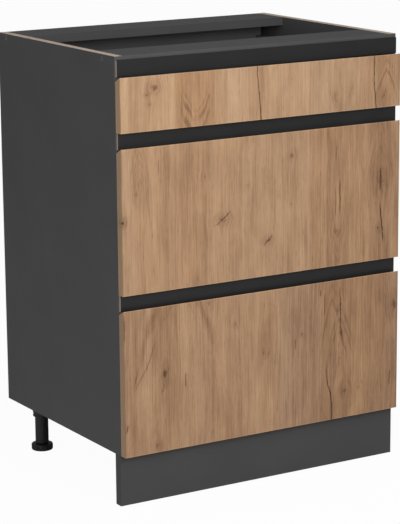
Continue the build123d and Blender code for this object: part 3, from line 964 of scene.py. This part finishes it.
class CABINET_OT_drawer_boxes(bpy.types.Operator):
    """Drawer sides, backs and bottoms"""

    bl_idname = "cabinet.drawer_boxes"
    bl_label = "Drawer Boxes"

    def execute(self, context):
        easing = context.scene.cabinet_boards.easing / MM
        for name in DRAWERS:
            body = f"drawer_{name}"
            for part in ("side_left", "side_right", "back"):
                node = f"drawer_{part}_{name}"
                board = eased_board(node, easing)
                finished(board, f"{node}_board", body, "drawer_board", "drawer_board", node)
            node = f"drawer_bottom_{name}"
            base = eased(block(*box(node)), 0.3)
            finished(base, f"{node}_board", body, "base", "dark_hardboard", node)
        return {"FINISHED"}


# ---- Fittings ----------------------------------------------------------------------------------
def cross(axis, arm, width, depth):
    """A cross-shaped punch that starts just before the origin and goes in along an axis."""
    along, half, before = AXES.index(axis), width / 2, 0.1
    outline = (
        (arm, half), (half, half), (half, arm), (-half, arm), (-half, half), (-arm, half),
        (-arm, -half), (-half, -half), (-half, -arm), (half, -arm), (half, -half), (arm, -half),
    )

    def turned_to(*parts):
        return [parts[(i - along) % 3] for i in range(3)]

    return section([turned_to(-before, a, b) for a, b in outline], turned_to(depth + before, 0, 0))


def cross_screw(axis, radius, head, shank, length):
    """A screw with a domed head and a cross recess, its head's face at the origin."""
    profile = [
        (0, 0), (radius * 0.72, 0), (radius * 0.94, head * 0.16), (radius, head * 0.42),
        (radius * 0.97, head), (shank, head), (shank, length - shank * 2), (0, length),
    ]
    screw = turned(profile, axis=axis, steps=20)
    return cut(screw, cross(axis, radius * 0.55, radius * 0.24, head * 0.7))


def cam_disc(axis, radius, depth):
    """A cam: a disc with a bevelled rim and a cross slot, its face at the origin."""
    profile = [
        (0, 0.35), (radius * 0.3, 0.35), (radius * 0.36, 0), (radius * 0.88, 0), (radius, 0.5),
        (radius, depth), (0, depth),
    ]
    disc = turned(profile, axis=axis, steps=32)
    return cut(disc, cross(axis, radius * 0.62, radius * 0.26, depth * 0.4))


def runner_screw():
    """A screw that holds a runner's channel or bar."""
    return cross_screw("X", 3.45, 1.15, 1.8, 11)


def pins(x, rows, axis, length, rounding):
    """Bolts or dowels that start at (y, z) rows on both sides. Those along X point inwards."""
    return [
        eased(rod((side * x, y, z), axis, length * (-side if axis == "X" else 1), PIN_RADIUS, 12),
              rounding)
        for side in SIDES for y, z in rows
    ]


class CABINET_OT_carcass_fittings(bpy.types.Operator):
    """Rail screws, bottom cams, runner screws, dowels and pins"""

    bl_idname = "cabinet.carcass_fittings"
    bl_label = "Carcass Fittings"

    def execute(self, context):
        rows = [(CARCASS_FRONT + row, CARCASS_TOP - HALF_BOARD) for row in RAIL_SCREW_ROWS]
        screws = placed(cross_screw("X", 4.7, 2, 2.9, 48), both_sides(OUTER_X, rows, 1))
        finished(screws, "rail_screw_heads", "carcass", "dull_screw", "zinc_fitting", "rail_screws")

        fronts = [CARCASS_FRONT + row for row in CARCASS_CAM_ROWS]
        cam_rows = [(y, CARCASS_LOW) for y in fronts]
        cams = placed(cam_disc("Z", 7.4, 12), both_sides(INNER_X - 24, cam_rows))
        bolt_rows = [(y, CARCASS_LOW + HALF_BOARD) for y in fronts]
        cams = joined(cams, *pins(INNER_X + 11, bolt_rows, "X", 27.5, 0.5))
        finished(cams, "carcass_cam_discs", "carcass", "cam", "zinc_fitting", "carcass_cams")

        rows = [(RUNNER_FRONT + y, z) for y in RUNNER_SCREW_ROWS for z in RUNNER_MIDDLES.values()]
        screws = placed(runner_screw(), both_sides(INNER_X - 1.2, rows, -1))
        finished(screws, "channel_screw_heads", "carcass", "screw", "zinc_steel", "channel_screws")
        dressed("carcass_dowels", "beech")
        dressed("strip_pins", "screw")
        return {"FINISHED"}


class CABINET_OT_drawer_fittings(bpy.types.Operator):
    """Cams and bolts behind the fronts, rear dowels and the drawers' runner screws"""

    bl_idname = "cabinet.drawer_fittings"
    bl_label = "Drawer Fittings"

    def execute(self, context):
        middle_x = (DRAWER_INNER + DRAWER_OUTER) / 2
        for name in DRAWERS:
            low = box(f"drawer_side_left_{name}")[0].z
            cam_rows = [(FRONT_BACK + 24, low + lift) for lift in CAM_LIFTS[name]]
            cams = placed(cam_disc("X", 5.9, 9.4), both_sides(DRAWER_INNER, cam_rows, -1))
            bolt_rows = [(FRONT_BACK - 11, z) for y, z in cam_rows]
            cams = joined(cams, *pins(middle_x, bolt_rows, "Y", 29, 0.5))
            dowel_front = box(f"drawer_back_{name}")[0].y - 16
            dowel_rows = [(dowel_front, low + lift) for lift in DOWEL_LIFTS[name]]
            dowels = joined(*pins(middle_x, dowel_rows, "Y", 24, 0.7))
            rows = [(RUNNER_FRONT + y, RUNNER_MIDDLES[name]) for y in RUNNER_SCREW_ROWS]
            screws = placed(runner_screw(), both_sides(DRAWER_OUTER + 1.2, rows, 1))
            body = f"drawer_{name}"
            finished(dowels, f"drawer_dowels_{name}", body, "beech", "beech_dowel")
            finished(screws, f"drawer_screws_{name}", body, "screw", "zinc_fitting")
            finished(
                cams, f"drawer_cams_{name}", body, "cam", "zinc_fitting", f"drawer_fittings_{name}",
            )
        return {"FINISHED"}


# ---- Runners -----------------------------------------------------------------------------------
# Upper halves of the rolled sections: across from the side panel, and above the runner's middle.
CHANNEL = (
    (0, 21.6), (0.35, 22.25), (1.1, 22.5), (9.5, 22.5), (10.2, 22.25), (10.5, 21.6), (10.5, 20.4),
    (10.1, 20.3), (9.5, 20.7), (8.6, 21.3), (2.1, 21.3), (1.4, 21.05), (1.2, 20.4),
)
SLIDE = (
    (2.4, 16.3), (2.75, 16.95), (3.5, 17.2), (10.2, 17.2), (10.8, 16.95), (11.0, 16.5),
    (10.7, 16.1), (10.1, 16.0), (4.5, 16.0), (3.85, 15.75), (3.6, 15.1),
)
BAR = (
    (12.7, 11.0), (12.35, 11.65), (11.6, 11.9), (5.4, 11.9), (4.85, 11.7), (4.6, 11.25),
    (4.9, 10.8), (5.5, 10.7), (10.6, 10.7), (11.25, 10.45), (11.5, 9.8),
)
OUTER_CAGE = (
    (1.5, 19.2), (1.8, 19.55), (7.6, 19.55), (7.8, 19.3), (7.6, 18.95), (2.4, 18.95), (2.1, 18.6),
)
INNER_CAGE = (
    (3.8, 13.9), (4.1, 14.25), (10.0, 14.25), (10.2, 14.0), (10.0, 13.65), (4.7, 13.65),
    (4.4, 13.3),
)
# The release lever's outline: along the runner, and above its middle.
LEVER = (
    (2, -6), (5, -8), (9, -7.4), (14, -4.4), (24, -2.4), (46, -1.4), (50, 0), (46, 1.4), (24, 2.2),
    (12, 2), (5, -1.2), (2, -4),
)


def on_runner(across, along, up):
    """A place on the left upper runner, from the side panel, the runner's front and its middle."""
    return (-INNER_X + across, RUNNER_FRONT + along, RUNNER_MIDDLES["top"] + up)


def member(half_outline, start=0.0, length=RUNNER_LENGTH):
    """A rolled member of the left upper runner."""
    outline = list(half_outline) + [(across, -up) for across, up in reversed(half_outline)]
    return section([on_runner(across, start, up) for across, up in outline], (0, length, 0))


def stamped(across, along, up, rounding, segments=2):
    """An eased block on the left upper runner, from three pairs of limits."""
    low, high = (on_runner(*corner) for corner in zip(across, along, up))
    return eased(block(low, high), rounding, segments)


def pierced(piece, across, reach, *groups):
    """Cuts round holes through a web, in groups of a radius and (along, up) places."""
    for radius, places in groups:
        for along, up in places:
            cut(piece, rod(on_runner(across, along, up), "X", reach, radius, 16))
    return piece


def level(*places):
    """Places along the runner, at its middle."""
    return [(along, 0) for along in places]


def for_all_runners(master, name, bodies, finish, slot, node=None):
    """Repeats a left upper piece on the right and in every drawer."""
    for drawer in DRAWERS:
        rise = (0, 0, RUNNER_MIDDLES[drawer] - RUNNER_MIDDLES["top"])
        pair = joined(copied(master, rise), copied(master, rise, "X"))
        nodes = [f"{node}_{drawer}"] if node else []
        body = bodies if bodies == "carcass" else f"{bodies}_{drawer}"
        finished(pair, f"{name}_{drawer}", body, finish, slot, *nodes)
    bpy.data.objects.remove(master)


class CABINET_OT_runners(bpy.types.Operator):
    """Telescopic runners: channel, slide and drawer bar with pierced webs and turned stops"""

    bl_idname = "cabinet.runners"
    bl_label = "Runners"

    def execute(self, context):
        rear = RUNNER_LENGTH
        small_holes = [(along, up) for along in (98, 226, 354) for up in (-11, 11)]
        channel = pierced(
            member(CHANNEL), -1, 3.5, (3.55, level(*RUNNER_SCREW_ROWS)),
            (2.3, level(66, 130, 194, 322, 386)), (1.9, small_holes),
        )
        stop = stamped((1, 2.3), (rear - 3, rear - 1), (-7, 7), 0.4)
        channel = joined(channel, stop)
        for_all_runners(channel, "channel", "carcass", "zinc", "zinc_steel", "runner_channel")

        slide = pierced(
            member(SLIDE), 1.5, 3.5, (5, level(*RUNNER_SCREW_ROWS)),
            (3, level(90, 150, 210, 310, 370)),
        )
        lugs = [
            stamped((3.2, 4.5), (along, along + 1.4), (up - 3, up + 3), 0.3)
            for along in (6, rear - 8) for up in (-8, 8)
        ]
        slide = joined(slide, *lugs)
        for_all_runners(slide, "slide", "slide", "zinc", "zinc_steel", "runner_slide")

        bar = pierced(
            member(BAR), 11, 3, (3.55, level(*RUNNER_SCREW_ROWS)),
            (2.3, level(66, 98, 162, 226, 322)),
        )
        bar = joined(bar, stamped((8, 12), (rear - 2.4, rear - 1), (-4, 4), 0.3))
        for_all_runners(bar, "drawer_bar", "drawer", "zinc", "zinc_steel", "runner_bar")

        lever = eased(section([on_runner(7.5, *point) for point in LEVER], (2.6, 0, 0)), 0.4)
        for_all_runners(lever, "release_lever", "drawer", "smooth_plastic", "black_plastic")
        return {"FINISHED"}


class CABINET_OT_ball_cages(bpy.types.Operator):
    """Ball cages with windows, and their rows of steel balls"""

    bl_idname = "cabinet.ball_cages"
    bl_label = "Ball Cages"

    def execute(self, context):
        low, high = box("ball_cage_outer_top")
        start, length = low.y - RUNNER_FRONT, high.y - low.y
        first_ball, window_pitch = 6, 43
        count = context.scene.cabinet_fittings.balls_per_row
        pitch = (length - 2 * first_ball) / (count - 1)
        for name, outline, across, up in (
            ("outer", OUTER_CAGE, 5.5, 19.25), ("inner", INNER_CAGE, 8.0, 13.95),
        ):
            cage = member(outline, start, length)
            near = outline[0][0] - 1
            windows = [
                stamped((near, near + 3), (start + 8 + shift, start + 34 + shift), (-6, 6), 2, 3)
                for shift in range(0, 4 * window_pitch, window_pitch)
            ]
            for window in windows:
                cut(cage, window)
            body = f"{name}_cage"
            for_all_runners(
                cage, f"cage_{name}", body, "cage", "cage_steel", f"ball_cage_{name}",
            )
            leave_edit()
            bpy.ops.mesh.primitive_uv_sphere_add(
                segments=10, ring_count=6, radius=2 * MM,
                location=metres(on_runner(across, start + first_ball, up)),
            )
            ball = settle(bpy.context.object)
            row = placed(ball, [
                ((0, step * pitch, drop), None) for drop in (0, -2 * up) for step in range(count)
            ])
            for_all_runners(row, f"balls_{name}", body, "ball", "cage_steel")
        return {"FINISHED"}


# ---- Legs --------------------------------------------------------------------------------------
# Outlines of radius and height: the collar and the rib from the carcass's underside, the tube
# and the foot from the floor.
COLLAR = (
    (13.1, -0.2), (16.9, -0.2), (16.9, -5), (16.2, -24), (16.2, -25), (16.7, -25.6), (16.7, -27.4),
    (16.2, -28), (13.6, -28), (13.1, -27.3), (13.1, -0.2),
)
RIB = ((15.5, -2.8), (22.2, -2.8), (21.4, -5), (16.4, -20), (15.5, -20))
TUBE = (
    (5.2, 14), (12, 14), (12.7, 14.3), (13, 15.1), (13, 19.5), (12.6, 20), (12.6, 20.8),
    (12.95, 21.3), (12.95, 60), (12.95, 95.4), (12.6, 96), (10.3, 96), (10, 95.6), (10, 22),
    (5.2, 22), (5.2, 14),
)
FOOT = (
    (0, 0.5), (8, 0.5), (9, 0), (18.8, 0), (19.9, 0.4), (20.9, 2), (20.9, 10.4), (20.2, 11.8),
    (18, 12.6), (14, 12.8), (9, 13), (0, 13),
)
RIBS, NOTCHES = 8, 12
THREAD_START, THREAD_LENGTH, THREAD_ROOT, THREAD_CREST = 12, 56, 4.2, 5
FLANGE_THICKNESS, FLANGE_RADIUS, SOCKET_SCREW_RADIUS = 3, 24.9, 20.4


def leg_place(row, side):
    """The leg's axis, at floor height."""
    return middle(f"leg_tube_{row}_{side}")._replace(z=0)


def foot_thread(pitch):
    """A screw foot's threaded stem, on the upright axis through the origin."""
    tooth = draw([
        (radius, 0, THREAD_START + pitch * rise) for radius, rise in (
            (THREAD_ROOT, 0), (THREAD_ROOT, 0.3), (THREAD_CREST, 0.55), (THREAD_CREST, 0.75),
            (THREAD_ROOT, 1),
        )
    ])
    settle(tooth)
    shaped(
        tooth, "SCREW", axis="Z", screw_offset=pitch * MM, angle=2 * math.pi,
        iterations=int(THREAD_LENGTH / pitch), steps=16, render_steps=16,
        use_merge_vertices=True, merge_threshold=0.00001,
    )
    bpy.ops.object.mode_set(mode="EDIT")
    bpy.ops.mesh.select_all(action="SELECT")
    bpy.ops.mesh.fill_holes(sides=0)
    close_up()
    return settle(tooth)


class CABINET_OT_legs(bpy.types.Operator):
    """Sockets with ribs, tubes with a collar, and screw feet with a grip edge and a thread"""

    bl_idname = "cabinet.legs"
    bl_label = "Legs and Feet"

    def execute(self, context):
        start = leg_place("front", "left")
        under = start._replace(z=CARCASS_LOW)
        moves = [shifted(leg_place(*leg), -start.x, -start.y, 0) for leg in LEGS]

        flange = eased(rod(under, "Z", -FLANGE_THICKNESS, FLANGE_RADIUS, 8), 0.8, 3)
        collar = turned(COLLAR, under, "Z", 40)
        rib = section([shifted(under, out, -0.9, up) for out, up in RIB], (0, 1.8, 0))
        eased(rib, 0.3, 1)
        ribs = [
            copied(rib, turn=(step + 0.5) * 2 * math.pi / RIBS, about=start)
            for step in range(RIBS)
        ]
        bpy.data.objects.remove(rib)
        corners = [math.pi / 4 + step * math.pi / 2 for step in range(4)]
        reach = SOCKET_SCREW_RADIUS
        screw_places = [
            shifted(under, reach * math.cos(corner), reach * math.sin(corner), -4.2)
            for corner in corners
        ]
        screws = placed(
            cross_screw("Z", 3.1, 1.6, 1.7, 12), [(place, None) for place in screw_places],
        )
        socket = joined(flange, collar, *ribs)
        places = [(move, None) for move in moves]
        finished(
            placed(socket, places), "sockets", "carcass", "plastic", "black_plastic", "leg_sockets",
        )
        finished(placed(screws, places), "socket_screws", "carcass", "screw", "zinc_fitting")

        tube = turned(TUBE, start, "Z", 48)
        foot = turned(FOOT, start, "Z", 72)
        notch = eased(rod(shifted(start, 21.2, 0, -1), "Z", 15, 1.7, 12), 0.2, 1)
        notches = [
            copied(notch, turn=step * 2 * math.pi / NOTCHES + 0.13, about=start)
            for step in range(NOTCHES)
        ]
        bpy.data.objects.remove(notch)
        cut(foot, *notches)
        thread = foot_thread(context.scene.cabinet_fittings.thread_pitch / MM)
        for (row, side), move in zip(LEGS, moves):
            leg = f"{row}_{side}"
            finished(
                copied(tube, move), f"tube_{leg}", "carcass", "plastic", "black_plastic",
                f"leg_tube_{leg}",
            )
            finished(
                joined(copied(foot, move), copied(thread, shifted(start, *move))),
                f"screw_foot_{leg}",
                f"foot_{leg}", "plastic", "black_plastic", f"leg_foot_{leg}",
            )
        for master in (tube, foot, thread):
            bpy.data.objects.remove(master)
        return {"FINISHED"}


class CABINET_OT_plinth_clips(bpy.types.Operator):
    """Sprung clips behind the plinth board, with their screws"""

    bl_idname = "cabinet.plinth_clips"
    bl_label = "Plinth Clips"

    def execute(self, context):
        node = "plinth_clips"
        clips = eased_board(node, 0.5)
        finished(clips, "plinth_clip_pair", "carcass", "smooth_plastic", "black_plastic", node)
        leg_x = abs(leg_place("front", "left").x)
        head_y, head_z = box(node)[0].y + 4.2, middle(node).z
        places = [
            ((side * (leg_x + shift), head_y, head_z), "Y") for side in SIDES for shift in (-17, 17)
        ]
        screws = placed(cross_screw("Y", 2.9, 1.4, 1.4, 14), places)
        finished(screws, "plinth_clip_screws", "carcass", "screw", "zinc_fitting")
        return {"FINISHED"}


# ---- Stage: places and sizes in metres ---------------------------------------------------------
def lamp(name, place, target, size, watts):
    """A square soft lamp that points at a target."""
    light = bpy.data.lights.new(name, "AREA")
    light.energy, light.size = watts, size
    holder = bpy.data.objects.new(name, light)
    bpy.context.collection.objects.link(holder)
    holder.location = place
    holder.rotation_euler = (Vector(target) - Vector(place)).to_track_quat("-Z", "Y").to_euler()


def floor_finish(shade):
    """A pale floor that the camera sees as nearly white, with the cabinet's shadow."""
    shader = Shader("Pale Floor")
    cloud = shader.noise(shader.vector(*shader.place()), 0.002, 3)
    pale = shader.ramp(cloud, (0.2, scaled(shade, 0.985)), (0.8, shade))
    path = shader.node("LightPath", None, None, "Is Camera Ray")
    matt = {"Base Color": pale, "Roughness": 0.9, "Specular IOR Level": 0.1}
    matt = shader.node("BsdfPrincipled", None, matt)
    lit = shader.node("Emission", None, {"Color": (1, 1, 1, 1), "Strength": 1.0})
    return shader.shown(shader.node("MixShader", None, {0: path * 0.965, 1: matt, 2: lit}))


def studio(sky):
    """Even light from all round, white where the camera sees it."""
    world = Shader("Studio", "World")
    path = world.node("LightPath", None, None, "Is Camera Ray")
    through = Value(world, path.socket.node.outputs["Is Transmission Ray"])
    seen = path.math("ADD", through, clamp=True)
    strength = world.node("MapRange", None, {"Value": seen, "To Min": sky, "To Max": 1.0})
    ground = {"Color": (1, 1, 1, 1), "Strength": strength}
    return world.shown(world.node("Background", None, ground))


class CABINET_OT_stage(bpy.types.Operator):
    """Pale floor, soft light and the camera"""

    bl_idname = "cabinet.stage"
    bl_label = "Stage"

    def execute(self, context):
        stage = context.scene.cabinet_stage
        leave_edit()
        bpy.ops.mesh.primitive_plane_add(size=60, location=(0, 0, 0))
        bpy.ops.object.mode_set(mode="EDIT")
        bpy.ops.mesh.subdivide(number_cuts=4)
        floor = settle(bpy.context.object)
        floor.name = "floor"
        floor.data.materials.append(floor_finish(stage.floor_colour[:]))
        context.scene.world = studio(stage.sky)

        lamp("high_lamp", (-0.3, -2.0, 2.6), (0, -0.23, 0.6), 1.4, stage.key_power)
        lamp("front_lamp", (-0.42, -2.2, 1.34), (0, -0.1, 0.7), 0.9, stage.front_power)
        lamp("left_lamp", (-5.0, -2.4, 2.2), (-0.2, 0, 0.5), 2.4, stage.side_power)

        back = Vector((
            math.sin(stage.azimuth) * math.cos(stage.elevation),
            -math.cos(stage.azimuth) * math.cos(stage.elevation),
            math.sin(stage.elevation),
        ))
        roll = Quaternion((0, 0, 1), stage.roll)
        camera = bpy.data.objects.new("camera", bpy.data.cameras.new("camera"))
        context.collection.objects.link(camera)
        camera.data.sensor_width = 36
        camera.data.lens = stage.lens
        camera.data.clip_start, camera.data.clip_end = 0.05, 200
        camera.rotation_mode = "QUATERNION"
        camera.location = stage.camera_place
        camera.rotation_quaternion = (-back).to_track_quat("-Z", "Y") @ roll
        context.scene.camera = camera
        context.scene.view_settings.view_transform = "Standard"
        return {"FINISHED"}


OPERATORS = (
    CABINET_OT_carcass_boards, CABINET_OT_back_panel, CABINET_OT_grip_strips,
    CABINET_OT_drawer_fronts, CABINET_OT_drawer_boxes, CABINET_OT_carcass_fittings,
    CABINET_OT_drawer_fittings, CABINET_OT_runners, CABINET_OT_ball_cages, CABINET_OT_legs,
    CABINET_OT_plinth_clips, CABINET_OT_stage,
)
SETTINGS = {
    "cabinet_boards": BoardSettings, "cabinet_fittings": FittingSettings,
    "cabinet_stage": StageSettings,
}


class CABINET_PT_sidebar(bpy.types.Panel):
    """Lists the cabinet's pieces and their settings"""

    bl_idname = "CABINET_PT_sidebar"
    bl_label = "Drawer Base Cabinet"
    bl_space_type = "VIEW_3D"
    bl_region_type = "UI"
    bl_category = "Cabinet"

    def draw(self, context):
        for operator in OPERATORS:
            self.layout.operator(operator.bl_idname)
        for name, group in SETTINGS.items():
            settings = getattr(context.scene, name)
            for value in group.__annotations__:
                self.layout.prop(settings, value)


def register():
    for group in (*SETTINGS.values(), *OPERATORS, CABINET_PT_sidebar):
        bpy.utils.register_class(group)
    for name, group in SETTINGS.items():
        setattr(bpy.types.Scene, name, bpy.props.PointerProperty(type=group))


def unregister():
    for name in SETTINGS:
        delattr(bpy.types.Scene, name)
    for group in reversed((*SETTINGS.values(), *OPERATORS, CABINET_PT_sidebar)):
        bpy.utils.unregister_class(group)


def main():
    register()
    for operator in OPERATORS:
        category, name = operator.bl_idname.split(".")
        if getattr(getattr(bpy.ops, category), name)() != {"FINISHED"}:
            raise RuntimeError(f"{operator.bl_label} did not finish")


if __name__ == "__main__":
    main()
